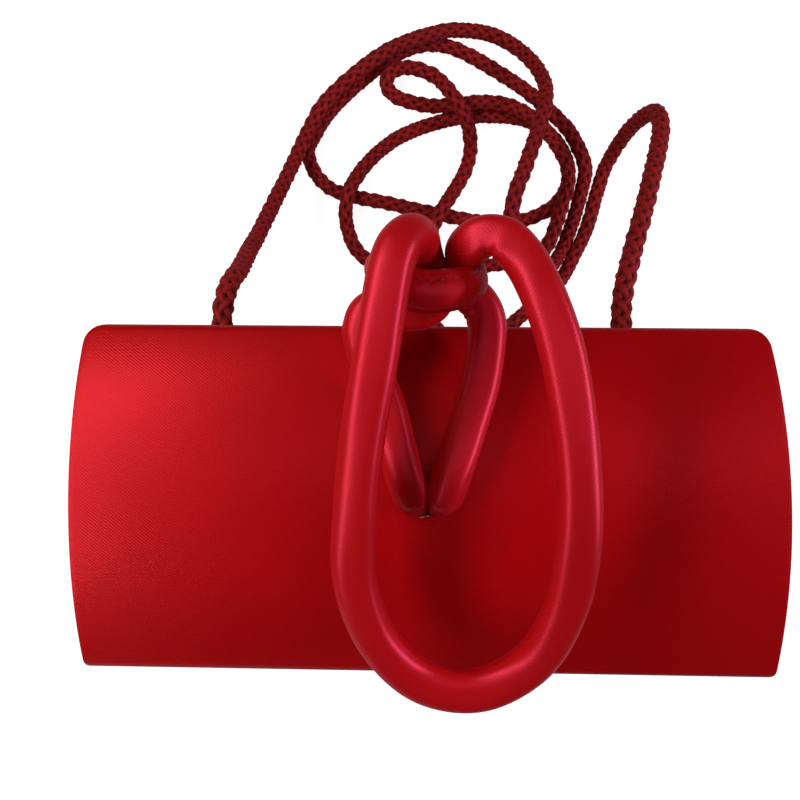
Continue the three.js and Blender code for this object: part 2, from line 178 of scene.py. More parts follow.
def tube_mesh(name, lines, radii, sides):
    """Round tubes along lines, with closed ends, from one curve. Its bevel has 4 sides plus 2 a step."""
    curve = bpy.data.curves.new(name, "CURVE")
    curve.dimensions = "3D"
    curve.bevel_depth = 1
    curve.bevel_resolution = (sides - 4) // 2
    for line, radius in zip(lines, radii):
        spline = curve.splines.new("POLY")
        spline.points.add(len(line) - 1)
        spline.points.foreach_set("co", np.c_[line, np.ones(len(line))].ravel())
        spline.points.foreach_set("radius", np.broadcast_to(radius, len(line)).astype(float))
    rope = bpy.data.objects.new(name, curve)
    bpy.context.collection.objects.link(rope)
    mesh = bpy.data.meshes.new_from_object(rope.evaluated_get(bpy.context.evaluated_depsgraph_get()))
    bpy.data.objects.remove(rope)
    mesh.name = name
    bm = bmesh.new()
    bm.from_mesh(mesh)
    bmesh.ops.holes_fill(bm, edges=[e for e in bm.edges if e.is_boundary])
    bmesh.ops.recalc_face_normals(bm, faces=bm.faces)
    bm.to_mesh(mesh)
    bm.free()
    return mesh


print("strap leaves along", turning_frames(strap_line)[0][0].round(2))

# %% Braided strands
CORD_DIAMETER = 6 * MM
STRAND_RADIUS = 1.24 * MM
STRAND_ORBIT = 1.58 * MM
STRAND_DIVE = 0.3 * MM
STRAND_SIDES = 6
STRANDS_EACH_WAY = 4
BRAID_PITCH = 20 * MM
BRAID_WANDER = ((0.22, 0.31, 0), (0.12, 1.17, 0.6))


def braid_mesh(name, line, size):
    """Strands plaited round a line. Size scales them, for a cord thinner than the strap."""
    _, side, other = turning_frames(line)
    step = np.linalg.norm(line[1] - line[0])
    turn = 2 * math.pi * np.arange(len(line)) * step / (BRAID_PITCH * size)
    turn = turn + sum(swing * np.sin(turn * rate + start) for swing, rate, start in BRAID_WANDER)
    strands = []
    for i in range(2 * STRANDS_EACH_WAY):
        way = 1 if i < STRANDS_EACH_WAY else -1
        angle = way * turn + 2 * math.pi * i / STRANDS_EACH_WAY
        orbit = size * (STRAND_ORBIT + way * STRAND_DIVE * np.cos(STRANDS_EACH_WAY * turn))
        across = side * np.cos(angle)[:, None] + other * np.sin(angle)[:, None]
        strands.append(line + across * orbit[:, None])
    mesh = tube_mesh(name, strands, [STRAND_RADIUS * size] * len(strands), STRAND_SIDES)
    tree = KDTree(len(line))
    for i, point in enumerate(line):
        tree.insert(point, i)
    tree.balance()
    # Each point's height above the cord's middle, which the cord's colour reads to paint shade in the gaps.
    height = [tree.find(v.co)[2] / (CORD_DIAMETER / 2 * size) for v in mesh.vertices]
    mesh.attributes.new("strand_height", "FLOAT", "POINT").data.foreach_set("value", height)
    return mesh


def add_piece(name, mesh, material, body, slot, *nodes):
    """Makes a mesh a finished piece that rides on a body, if one is named, and may stand for solids."""
    piece = bpy.data.objects.new(name, mesh)
    bpy.context.collection.objects.link(piece)
    mesh.materials.clear()
    mesh.materials.append(material)
    mesh.shade_smooth()
    if body:
        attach(piece, body)
    if nodes:
        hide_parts(*nodes)
    return piece


def triangles(mesh):
    return sum(len(face.vertices) - 2 for face in mesh.polygons)


strap_mesh = braid_mesh("strap_braid", strap_line, 1)
print("strap triangles", triangles(strap_mesh))

# %% [markdown]
# ## The cord's colour and painted shade
# The braid is a dull dark red. The strands stand out because the shade between them is painted nearly
# black: each point keeps its height above the cord's middle, and the colour follows that height.

# %% Shader nodes
NOISE_SPAN = (0.3, 0.7)


def new_material(name):
    """A material with its node tree and its shader."""
    material = bpy.data.materials.new(name)
    material.use_nodes = True
    return material, material.node_tree, material.node_tree.nodes["Principled BSDF"]


def node(tree, kind, settings=None, **links):
    """Adds a shader node. Links name its sockets, with a number, colour or another node's socket."""
    made = tree.nodes.new(kind)
    for key, value in (settings or {}).items():
        setattr(made, key, value)
    for key, value in links.items():
        socket = made.inputs[int(key[1:])] if key[1:].isdigit() else made.inputs[key.replace("_", " ")]
        if isinstance(value, bpy.types.NodeSocket):
            tree.links.new(value, socket)
        else:
            socket.default_value = value
    return made


def ramp(tree, source, low, high, stops):
    """A colour ramp over a span of its source."""
    span = node(tree, "ShaderNodeMapRange", None, Value=source, From_Min=low, From_Max=high)
    made = node(tree, "ShaderNodeValToRGB", None, Fac=span.outputs[0])
    elements = made.color_ramp.elements
    while len(elements) < len(stops):
        elements.new(0.5)
    for element, (place, colour) in zip(elements, stops):
        element.position = place
        element.color = (*colour, 1)
    return made.outputs["Color"]


def noise(tree, vector, scale, detail):
    made = node(tree, "ShaderNodeTexNoise", None, Vector=vector, Scale=scale, Detail=detail)
    return made.outputs[0]


def place_on_piece(tree):
    return node(tree, "ShaderNodeTexCoord").outputs["Object"]


def bump(tree, shader, height, strength, distance):
    """Raises the surface by a pattern."""
    made = node(tree, "ShaderNodeBump", None, Strength=strength, Distance=distance, Height=height)
    tree.links.new(made.outputs[0], shader.inputs["Normal"])


def set_sockets(shader, **values):
    """Sets numbers and colours on the shader, with _ for a space in a socket's name."""
    for name, value in values.items():
        shader.inputs[name.replace("_", " ")].default_value = value


print("noise spans", NOISE_SPAN)

# %% Cord material
CORD_REDS_AND_GAP_SHADE = [(0, (0.07, 0.0015, 0.0018)), (0.5, (0.24, 0.006, 0.0065)), (1, (0.44, 0.013, 0.0125))]
GAP_HEIGHT, RIDGE_HEIGHT = 0.7, 1.02
FADED = [(0, (0.55, 0.5, 0.5)), (1, (1, 1, 1))]
FADED_SHARE = 0.45


def braid_material():
    material, tree, shader = new_material("braid_cord")
    height = node(tree, "ShaderNodeAttribute", {"attribute_name": "strand_height"})
    place = place_on_piece(tree)
    # Painted shade: the colour darkens with strand height to nearly black between strands; noise fades it
    # in patches.
    fade_and_gap_shade = node(
        tree, "ShaderNodeMix", {"data_type": "RGBA", "blend_type": "MULTIPLY"}, i0=FADED_SHARE,
        i6=ramp(tree, height.outputs["Fac"], GAP_HEIGHT, RIDGE_HEIGHT, CORD_REDS_AND_GAP_SHADE),
        i7=ramp(tree, noise(tree, place, scale=90, detail=2), *NOISE_SPAN, FADED),
    )
    tree.links.new(fade_and_gap_shade.outputs[2], shader.inputs["Base Color"])
    fibres = noise(tree, place, scale=2600, detail=2)
    bump(tree, shader, fibres, strength=0.5, distance=0.15 * MM)
    set_sockets(shader, Roughness=0.62, Specular_IOR_Level=0.2)
    set_sockets(shader, Sheen_Weight=0.1, Sheen_Roughness=0.5, Sheen_Tint=(0.9, 0.2, 0.2, 1))
    return material


braid_finish = braid_material()
strap = add_piece("strap_braid", strap_mesh, braid_finish, "body", "braid", "strap_cord")
print("strap reaches", [round(v, 3) for v in strap.dimensions], "m")

# %% [markdown]
# ## Stopper knots
# Inside the back wall each end of the cord is tied off so that it can't pull through its eyelet. A
# trefoil is the plainest closed knot, and the same braid along it makes a small tight ball.

# %% Stopper knots
STOPPER_REACH = 1.45 * MM
STOPPER_TIGHTENING = 1.15
STOPPER_DEPTH = 1.6
STOPPER_POINTS = 110
STOPPER_CORD = 0.62


def trefoil(centre):
    """A closed knot of three lobes, lying across the cord's way out."""
    turn = np.linspace(0, 2 * math.pi, STOPPER_POINTS)
    across = np.sin(turn) + 2 * np.sin(2 * turn)
    up = np.cos(turn) - 2 * np.cos(2 * turn)
    ring = np.stack([across, -STOPPER_DEPTH * np.sin(3 * turn), up], 1)
    return np.array(centre) + ring * STOPPER_REACH / STOPPER_TIGHTENING


for side in ("left", "right"):
    low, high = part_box(f"{side}_stopper_knot")
    centre = (np.array(low) + np.array(high)) / 2
    knot_mesh = braid_mesh(f"{side}_stopper", trefoil(centre), STOPPER_CORD)
    add_piece(f"{side}_stopper", knot_mesh, braid_finish, "body", "braid", f"{side}_stopper_knot")

# %% [markdown]
# ## Satin
# Duchess satin has a fine diagonal twill that shows as faint ribs where the light grazes it. The weave
# reads a UV map laid out in metres, so the ribs keep their size on every panel and follow the tube.
# The sheen is a soft pink, because the threads throw back the light before it picks up the full dye.

# %% Satin materials
RIB = 0.62 * MM
THREAD = 0.38 * MM
TWILL_ANGLE = math.radians(52)
WAVE_PERIOD = 2 * math.pi / 20
WEAVE_DEPTH = 0.12 * MM
THREAD_SHARE, SLUB_SHARE, PATCH_SHARE = 0.3, 0.5, 0.35
DYE_SPAN = (0.25, 0.75)
DULLER, SMOOTHER = 0.07, 0.05


def mixed(tree, share, first, second):
    return node(tree, "ShaderNodeMix", None, i0=share, i2=first, i3=second).outputs[0]


def satin_material(name, deep, bright, roughness, metallic, gloss_level, gloss_tint, sheen, relief):
    """Diagonal ribs over fine threads, uneven in height, gloss and dye."""
    material, tree, shader = new_material(name)
    weave = node(tree, "ShaderNodeUVMap", {"uv_map": "weave"}).outputs[0]
    turned = node(tree, "ShaderNodeMapping", None, Vector=weave, Rotation=(0, 0, TWILL_ANGLE))
    ribs = node(
        tree, "ShaderNodeTexWave", None, Vector=turned.outputs[0], Scale=WAVE_PERIOD / RIB, Distortion=1.2,
        Detail=2, Detail_Scale=1.6,
    )
    threads = node(
        tree, "ShaderNodeTexWave", {"bands_direction": "Y"}, Vector=weave, Scale=WAVE_PERIOD / THREAD,
        Distortion=0.8, Detail=1,
    )
    height = mixed(tree, THREAD_SHARE, ribs.outputs["Fac"], threads.outputs["Fac"])
    uneven = mixed(tree, SLUB_SHARE, height, noise(tree, weave, scale=1700, detail=2))
    tone = mixed(tree, PATCH_SHARE, uneven, noise(tree, place_on_piece(tree), scale=24, detail=3))
    dull, smooth = roughness + DULLER, roughness - SMOOTHER
    gloss = node(tree, "ShaderNodeMapRange", None, Value=uneven, To_Min=dull, To_Max=smooth)
    tree.links.new(ramp(tree, tone, *DYE_SPAN, [(0, deep), (1, bright)]), shader.inputs["Base Color"])
    tree.links.new(gloss.outputs[0], shader.inputs["Roughness"])
    bump(tree, shader, uneven, strength=relief, distance=WEAVE_DEPTH)
    set_sockets(shader, Metallic=metallic, Specular_IOR_Level=gloss_level, Specular_Tint=(*gloss_tint, 1))
    set_sockets(shader, Sheen_Weight=sheen, Sheen_Roughness=0.3, Sheen_Tint=(*gloss_tint, 1))
    return material


satin = satin_material(
    "satin", deep=(0.39, 0.0024, 0.0042), bright=(0.55, 0.004, 0.0062), roughness=0.29, metallic=0.12,
    gloss_level=0.8, gloss_tint=(1, 0.1, 0.15), sheen=0.05, relief=0.45,
)
# The tube is the flap's satin with a lighter dye: painted light for the extra light that the raised tube
# catches.
satin_tube = satin_material(
    "satin_tube", deep=(0.46, 0.004, 0.0065), bright=(0.64, 0.0065, 0.009), roughness=0.36, metallic=0.15,
    gloss_level=1.0, gloss_tint=(1, 0.18, 0.36), sheen=0.1, relief=0.22,
)
lining_cloth = satin_material(
    "lining_cloth", deep=(0.11, 0.002, 0.003), bright=(0.15, 0.003, 0.004), roughness=0.6, metallic=0.05,
    gloss_level=0.2, gloss_tint=(1, 0.1, 0.15), sheen=0.05, relief=0.1,
)
print("finishes", [m.name for m in bpy.data.materials])

# %% [markdown]
# ## The flap
# The cover is a board bent into a low dome, with a short turned edge at the back and an apron down the
# front. A grid is bent over that outline by moving its points, a Solidify gives the board its
# thickness, and a small Bevel rounds the edges as the wrapped satin does.

# %% Flap outline
HALF_WIDTH = 87 * MM
HINGE_HEIGHT = 113 * MM
DOME_RISE = 10.5 * MM
CREST = 128.5 * MM
INNER_ROUND = 6 * MM
COVER_ROUND = 2.4 * MM
HEM = 63 * MM
BACK_CORNER = 5 * MM
FRONT_CORNER = 2 * MM
DOME_RADIUS = (HALF_DEPTH**2 + DOME_RISE**2) / (2 * DOME_RISE)
DOME_CENTRE = CREST - DOME_RADIUS
EDGE_POINTS, DOME_POINTS = 12, 60


def arc(centre_y, centre_z, radius, start, end, count):
    turn = np.linspace(start, end, count)
    return np.stack([centre_y + radius * np.cos(turn), centre_z + radius * np.sin(turn)], 1)


def edge_centre(rounding):
    """Where the round of the flap's edge has its centre, and the angle at which it meets the dome."""
    y = HALF_DEPTH - rounding
    rise = math.sqrt((DOME_RADIUS - rounding) ** 2 - y**2)
    return y, DOME_CENTRE + rise, math.atan2(rise, y)


def flap_profile(depth, rounding, back, hem, count):
    """The flap's outline from its back edge over the dome to its hem, some way below its outer skin."""
    edge_y, edge_z, angle = edge_centre(rounding)
    edge = rounding - depth
    path = np.vstack([
        [(HALF_DEPTH - depth, back)],
        arc(edge_y, edge_z, edge, 0, angle, EDGE_POINTS),
        arc(0, DOME_CENTRE, DOME_RADIUS - depth, angle, math.pi - angle, DOME_POINTS),
        arc(-edge_y, edge_z, edge, math.pi - angle, math.pi, EDGE_POINTS),
        [(-HALF_DEPTH + depth, hem)],
    ])
    return evenly(path, count)


def corner_trim(y):
    """How far a round corner pulls the flap's side in at a place along its depth."""
    back = max(0.0, y - (HALF_DEPTH - BACK_CORNER))
    front = max(0.0, -y - (HALF_DEPTH - FRONT_CORNER))
    trim = BACK_CORNER - math.sqrt(max(0.0, BACK_CORNER**2 - back**2))
    return trim + FRONT_CORNER - math.sqrt(max(0.0, FRONT_CORNER**2 - front**2))


print("dome radius", round(DOME_RADIUS / MM, 1), "mm")

# %% [markdown]
# No cover is quite even. The apron's shoulder stands out a little at the front, more at the right than
# at the left. The right side fans out at the front and draws in at the back. Moving the grid's points by
# smooth formulas keeps the board one calm curve.

# %% Uneven cover
SHOULDER_FROM = 12 * MM
SHOULDER_OUT = 1.7 * MM
SHOULDER_TO_RIGHT = 0.9 * MM
FAN_FROM = 6 * MM
FAN_SLOPE = 0.032


def ease(value, low, high):
    """Rises smoothly from 0 at low to 1 at high."""
    t = np.clip((value - low) / (high - low), 0, 1)
    return t * t * (3 - 2 * t)


def front_reach(x, y, z):
    """How far the apron's shoulder stands out at the front. At the hem it doesn't."""
    front = min(1.0, max(0.0, (-y - SHOULDER_FROM) / (HALF_DEPTH - SHOULDER_FROM)))
    out = SHOULDER_OUT + SHOULDER_TO_RIGHT * x / HALF_WIDTH
    return out * front**2 * ease(z, HEM, HINGE_HEIGHT)


def side_reach(x, y):
    """How far the right side stands out at the front. At the back it draws in."""
    return FAN_SLOPE * (FAN_FROM - y) * max(0.0, x / HALF_WIDTH) ** 3


front_right = front_reach(HALF_WIDTH, -HALF_DEPTH, HINGE_HEIGHT)
print("shoulder stands out", round(front_right / MM, 1), "mm at the right")

# %% [markdown]
# The sheet keeps its weave as a UV map of the flat cloth, in metres, because bending a board doesn't
# stretch its cover.

# %% Bent sheet
EDGE_SEGMENTS = 4
SHARP = math.radians(50)


def finished_mesh(bm, name):
    """Keeps what a bmesh has made as a mesh."""
    mesh = bpy.data.meshes.new(name)
    bm.to_mesh(mesh)
    bm.free()
    return mesh


def bent_sheet(name, depth, rounding, inset, back, hem, columns, rows):
    """A grid bent over the flap's outline, with its weave laid out in metres."""
    profile, along = flap_profile(depth, rounding, back, hem, rows + 1)
    bm = bmesh.new()
    bmesh.ops.create_grid(bm, x_segments=columns, y_segments=rows, size=0.5)
    weave = bm.loops.layers.uv.new("weave")
    spot = {}
    for v in bm.verts:
        row = int(round((v.co.y + 0.5) * rows))
        y, z = profile[rows - row]
        half = HALF_WIDTH - inset - corner_trim(y)
        x = 2 * v.co.x * half
        spot[v] = (x, along[rows - row])
        v.co = (x + side_reach(x, y), y - front_reach(x, y, z), z)
    for face in bm.faces:
        for loop in face.loops:
            loop[weave].uv = spot[loop.vert]
    bmesh.ops.recalc_face_normals(bm, faces=bm.faces)
    if sum(f.normal.z for f in bm.faces) < 0:
        bmesh.ops.reverse_faces(bm, faces=bm.faces)
    return finished_mesh(bm, name)


def board(piece, thickness, rounding):
    """Gives a sheet its thickness, inwards, and rounds its edges."""
    solid = piece.modifiers.new("board", "SOLIDIFY")
    solid.thickness = thickness
    solid.offset = -1
    edge = piece.modifiers.new("edge", "BEVEL")
    edge.width = rounding
    edge.segments = EDGE_SEGMENTS
    edge.limit_method = "ANGLE"
    edge.angle_limit = SHARP


SEAM = 0.3 * MM
flap_mesh = bent_sheet(
    "flap_cover", depth=0, rounding=COVER_ROUND, inset=0, back=HINGE_HEIGHT + SEAM, hem=HEM, columns=120,
    rows=180,
)
print("flap points", len(flap_mesh.vertices))

# %% [markdown]
# The handle's tails go through a slit. The faces inside its outline are deleted, and the ragged edge
# that they leave is drawn out to an even slot, which is quicker than a cut that has to meet the grid.

# %% Slit and flap cover
SLIT_LEFT, SLIT_RIGHT = -2.5 * MM, 1.6 * MM
SLIT_Y = -1.2 * MM
SLIT_HALF = 2.2 * MM
FACING_UP = 0.9
FLAP_BOARD = 2 * MM
FLAP_EDGE = 0.8 * MM


def cut_slit(mesh):
    """Opens the slit for the handle's tails and draws the cut edge out to an even slot."""
    def place(v):
        core = Vector((min(max(v.co.x, SLIT_LEFT), SLIT_RIGHT), SLIT_Y, v.co.z))
        return core, v.co - core

    bm = bmesh.new()
    bm.from_mesh(mesh)
    top = [f for f in bm.faces if f.normal.z > FACING_UP]
    inside = [f for f in top if all(place(v)[1].length < SLIT_HALF for v in f.verts)]
    bmesh.ops.delete(bm, geom=inside, context="FACES")
    for v in bm.verts:
        core, away = place(v)
        if v.is_boundary and v.normal.z > FACING_UP and away.length < 2 * SLIT_HALF:
            v.co = core + away.normalized() * SLIT_HALF
    bm.to_mesh(mesh)
    bm.free()


cut_slit(flap_mesh)
flap = add_piece("flap_cover", flap_mesh, satin, "flap", "satin", "flap")
board(flap, FLAP_BOARD, FLAP_EDGE)
print("flap points now", len(flap_mesh.vertices))

# %% [markdown]
# ## The flap's lining
# Thin cloth backs the board. It is the same bent grid a little deeper, and a little narrower so that
# its edge stays hidden.

# %% Flap lining
LINING = 0.6 * MM
LINING_EDGE = 0.2 * MM
BACKING_INSET = 0.8 * MM
BACKING_COLUMNS, BACKING_ROWS = 60, 90
backing_depth = (FLAP_BOARD + SEAM, INNER_ROUND)
backing_ends = (HINGE_HEIGHT + SEAM, HEM + SEAM)
lining_mesh = bent_sheet(
    "flap_backing", *backing_depth, BACKING_INSET, *backing_ends, BACKING_COLUMNS, BACKING_ROWS
)
flap_backing = add_piece("flap_backing", lining_mesh, lining_cloth, "flap", "lining_cloth", "flap_lining")
board(flap_backing, LINING, LINING_EDGE)

# %% [markdown]
# ## The knotted handle
# A soft tube of satin over padding comes up through the slit, passes under the band of its own knot,
# makes the big loop towards the front and comes back through the knot to the slit. It is swept along
# one line, then its points are moved: the tails narrow where the slit pinches them, tight bends crease
# on their inner side, and a sewn seam runs along it.

# %% Handle line
HANDLE_POINTS = [
    (1.6, -1.3, -6.1), (1.7, -1.2, -3.2), (3.3, 2.4, -0.4), (4.9, 6.8, 0.5), (6.5, 11.5, 0.5),
    (8.6, 18.5, -0.5), (11.8, 29, -2.6), (13.3, 38, -3.8), (13.6, 42.5, -4.2), (12.4, 46.8, -4.4),
    (9.2, 50.2, -4.6), (4.5, 52.6, -4.8), (-0.5, 54, -4.8), (-6, 54.8, -3.4), (-10, 55, 0.8),
    (-11, 54.2, 6.2),
    (-9.6, 51.2, 11.4), (-5.4, 48.6, 14), (-1, 47.8, 14.4), (3.4, 48.3, 14.3), (7.1, 49.4, 12),
    (8, 51.5, 9), (7, 54.3, 8.4), (6.7, 56.7, 11), (8.5, 58.9, 14.6), (12, 60, 16.6),
    (15.3, 58.4, 17.2), (18.7, 54.6, 17.8), (22, 47.5, 19.8), (25.5, 37, 21.3), (28, 24.5, 21.8),
    (29.8, 10, 21.3), (30.5, -5, 18.8), (28.8, -20.5, 13.8), (22.8, -34, 8.3), (11, -41.2, 5.6),
    (-1.6, -39.4, 6), (-11.2, -30.2, 8.8), (-16.8, -15, 13.8), (-16.5, 2, 18.4), (-14.8, 18, 21.5),
    (-12.5, 32, 23.8), (-10.8, 43, 24.6), (-8.9, 53, 24.4), (-6.8, 57.6, 22.4), (-4.2, 59.2, 18),
    (-3, 57.2, 11.4), (-1.4, 53.8, 6.4), (1, 50.2, 3.6), (0.6, 46.4, 2.4), (-3.8, 45, 2.2),
    (-10.4, 45.8, 2.6), (-14, 45.8, 2.8), (-16.3, 43, 2.6), (-16, 39.2, 1.6), (-14.5, 34, 0.2),
    (-12.8, 28.5, -0.6), (-10.2, 21.5, -0.2), (-8, 12.8, 0.4), (-6.2, 7.3, 0.5), (-4.5, 2.6, -0.4),
    (-2.7, -1, -3.2), (-2.5, -1.1, -6.1),
]
TUBE_RADIUS = 4.7 * MM
HANDLE_STEP = 0.6 * MM
LINE_PASSES = 14


def even_out(values, passes):
    """Draws each row towards its neighbours, with the two ends held."""
    for _ in range(passes):
        values[1:-1] = (values[:-2] + 2 * values[1:-1] + values[2:]) / 4


lift = CREST / MM + TUBE_RADIUS / MM
handle_line, handle_length = smooth_line([(x, y, z + lift) for x, y, z in HANDLE_POINTS], HANDLE_STEP)
even_out(handle_line, LINE_PASSES)
print("handle", round(handle_length, 3), "m,", len(handle_line), "rings")

# %% Handle tube
TAIL_RADIUS = 2.2 * MM
TAIL_TAPER = 7.5 * MM
TUBE_SIDES = 48
BEND_PASSES = 4
BEND_SQUEEZE = 0.1
GENTLE_BEND, TIGHT_BEND = 0.45, 0.95

along = np.linspace(0, handle_length, len(handle_line))
from_end = np.minimum(along, handle_length - along)
direction = turning_frames(handle_line)[0]
bend = np.gradient(direction, axis=0) / np.gradient(along)[:, None]
even_out(bend, BEND_PASSES)
tightness = np.linalg.norm(bend, axis=1) * TUBE_RADIUS
squeeze = 1 - BEND_SQUEEZE * ease(tightness, GENTLE_BEND, TIGHT_BEND)
tube_radius = (TAIL_RADIUS + (TUBE_RADIUS - TAIL_RADIUS) * ease(from_end, 0, TAIL_TAPER)) * squeeze
handle_mesh = tube_mesh("knotted_tube", [handle_line], [tube_radius], TUBE_SIDES)
points = np.empty(len(handle_mesh.vertices) * 3)
handle_mesh.vertices.foreach_get("co", points)
rings = points.reshape(len(handle_line), TUBE_SIDES, 3)
print("tightest bend", round(TUBE_RADIUS / MM / tightness.max(), 1), "mm")

# %% [markdown]
# A padded tube that lies down isn't round. Its section is pressed a little flat, and a power above 2 in
# the ellipse's formula gives it fuller shoulders. Where the tube stands up, and at its tails, it stays
# round.

# %% Flattened section
FLATTEN = 0.12
FLAT_POWER = 2.6
FLAT_FACING = np.array([-0.1, 0.0, 0.995])
STANDING, LYING = 0.45, 0.85
ROUND_TAIL = 3 * TAIL_TAPER

flat_side = FLAT_FACING - direction * (direction @ FLAT_FACING)[:, None]
level = np.linalg.norm(flat_side, axis=1)
lies_flat = (ease(level, STANDING, LYING) * ease(from_end, TAIL_TAPER, ROUND_TAIL))[:, None]
flat_side /= level[:, None]
edge_side = np.cross(direction, flat_side)
spread = rings - handle_line[:, None]
reach = np.linalg.norm(spread, axis=2)
thin = np.einsum("rkc,rc->rk", spread, flat_side)
wide = np.einsum("rkc,rc->rk", spread, edge_side)
power = 2 + (FLAT_POWER - 2) * lies_flat
fuller = (np.abs(thin / reach) ** power + np.abs(wide / reach) ** power) ** (-1 / power)
thin = thin * fuller * (1 - FLATTEN * lies_flat)
wide = wide * fuller
spread = thin[:, :, None] * flat_side[:, None] + wide[:, :, None] * edge_side[:, None]
rings = handle_line[:, None] + spread
outward = spread / np.linalg.norm(spread, axis=2)[:, :, None]
print("rings that lie flat", int((lies_flat > 0).sum()), "of", len(rings))

# %% [markdown]
# The seam faces up on the knot's front band, where it shows best. The cover twists with the knot, so
# away from the band the seam turns round to the underside. Small dents beside it are the puckers that
# the thread pulls in.

# %% Seam
BAND_POINT = np.array([1, 48, 14.4 + lift]) * MM
SEAM_FACING = np.array([0.1, 0.45, 0.9])
SEAM_STRAIGHT, SEAM_TURNED = 9 * MM, 26 * MM


def short_way(sides):
    """A turn round the tube, counted in sides, taken the short way."""
    return (sides + TUBE_SIDES / 2) % TUBE_SIDES - TUBE_SIDES / 2


band_ring = int(np.argmin(np.linalg.norm(handle_line - BAND_POINT, axis=1)))
band_side = int(np.argmax(outward[band_ring] @ SEAM_FACING))
under_side = np.argmin(outward[:, :, 2], axis=1)
from_band = np.abs(along - along[band_ring])
seam_place = band_side + short_way(under_side - band_side) * ease(from_band, SEAM_STRAIGHT, SEAM_TURNED)
aside = short_way(np.arange(TUBE_SIDES)[None, :] - seam_place[:, None])
seam_gap = aside * (2 * math.pi / TUBE_SIDES) * tube_radius[:, None]
seam_side = np.round(seam_place).astype(int) % TUBE_SIDES
print("seam on side", band_side, "of", TUBE_SIDES, "at the band")

# %% Puckers and creases
STITCH = 2.4 * MM
GROOVE_DEEP, GROOVE_WIDE = 0.32 * MM, 0.5 * MM
PUCKER_DEEP, PUCKER_ASIDE, PUCKER_WIDE = 0.16 * MM, 1.1 * MM, 0.8 * MM
CREASE_DEEP, CREASE_APART = 0.3 * MM, 3.4 * MM
CREASE_WANDER, WANDER_LENGTH = 1.3, 9 * MM
CREASE_FROM, CREASE_FULL = 0.22, 0.75
SLACK_DEEP, SLACK_LENGTH, SLACK_WAVES, SLACK_START = 0.1 * MM, 7 * MM, 3, 0.4
GATHER_DEEP, GATHER_FOLDS, GATHER_FULL, GATHER_FROM = 0.2 * MM, 6, 3 * MM, 10 * MM

around = np.arange(TUBE_SIDES) * 2 * math.pi / TUBE_SIDES
groove = -GROOVE_DEEP * np.exp(-((seam_gap / GROOVE_WIDE) ** 2))
pull = 0.5 + 0.5 * np.cos(2 * math.pi * along / STITCH)[:, None]
pucker = -PUCKER_DEEP * pull * np.exp(-(((np.abs(seam_gap) - PUCKER_ASIDE) / PUCKER_WIDE) ** 2))
inner = np.einsum("rkc,rc->rk", outward, bend) * TUBE_RADIUS
wander = CREASE_WANDER * np.sin(along / WANDER_LENGTH)
fold_wave = np.cos(2 * math.pi * along / CREASE_APART + wander)[:, None]
crease = CREASE_DEEP * ease(inner, CREASE_FROM, CREASE_FULL) * fold_wave
slack = SLACK_DEEP * np.sin(along / SLACK_LENGTH)[:, None] * np.cos(SLACK_WAVES * around + SLACK_START)
near_end = 1 - ease(from_end, GATHER_FULL, GATHER_FROM)[:, None]
gather = -GATHER_DEEP * near_end * (0.5 + 0.5 * np.cos(GATHER_FOLDS * around))
dents = groove + pucker + crease + slack + gather
rings = rings + outward * dents[:, :, None]
handle_mesh.vertices.foreach_set("co", rings.ravel())
print("deepest dent", round(-dents.min() / MM, 2), "mm")


def lay_tube_weave(mesh, length, girth, sides):
    """A UV map in metres round and along a swept tube, ring by ring."""
    corner = np.empty(len(mesh.loops), int)
    mesh.loops.foreach_get("vertex_index", corner)
    ring, side = corner // sides, corner % sides
    size = np.empty(len(mesh.polygons), int)
    mesh.polygons.foreach_get("loop_total", size)
    face = np.repeat(np.arange(len(size)), size)
    closes = np.isin(face, face[side == sides - 1]) & np.isin(face, face[side == 0])
    side = np.where(closes & (side == 0), sides, side)
    uv = np.stack([side / sides * girth, ring / ring.max() * length], 1)
    for layer in list(mesh.uv_layers):
        mesh.uv_layers.remove(layer)
    mesh.uv_layers.new(name="weave").data.foreach_set("uv", uv.ravel())


lay_tube_weave(handle_mesh, handle_length, 2 * math.pi * TUBE_RADIUS, TUBE_SIDES)
handle = add_piece("knotted_tube", handle_mesh, satin_tube, "flap", "satin_tube", "knotted_handle")
print("handle triangles", triangles(handle_mesh))

# %% [markdown]
# ## Stitches
# The seam's thread shows as a row of short stitches that lie in the groove. Each is a tiny ball drawn
# out along the seam, so a few dozen faces are enough.

# %% Seam stitches
STITCH_LENGTH, STITCH_THICK, STITCH_LIFT = 1.5 * MM, 0.3 * MM, 0.1 * MM
UNSEWN_RINGS = 12


def stitch_row(name, line, facing, length, thickness):
    """Short threads along a line, in one mesh."""
    bm = bmesh.new()
    ahead = np.gradient(line, axis=0)
    for point, way, face in zip(line, ahead, facing):
        x = Vector(way).normalized()
        z = Vector(face).normalized()
        y = z.cross(x).normalized()
        turn = Matrix((x, y, x.cross(y))).transposed().to_4x4()
        size = Matrix.Diagonal((length / 2, thickness / 2, thickness / 2, 1))
        bmesh.ops.create_uvsphere(
            bm, u_segments=6, v_segments=4, radius=1, matrix=Matrix.Translation(point) @ turn @ size
        )
    return finished_mesh(bm, name)


def fibre_material(name, dark, light, roughness, scale, detail):
    """Dull fibres that vary from dark to light."""
    material, tree, shader = new_material(name)
    fibres = noise(tree, place_on_piece(tree), scale, detail)
    colour = ramp(tree, fibres, *NOISE_SPAN, [(0, dark), (1, light)])
    tree.links.new(colour, shader.inputs["Base Color"])
    set_sockets(shader, Roughness=roughness)
    return material


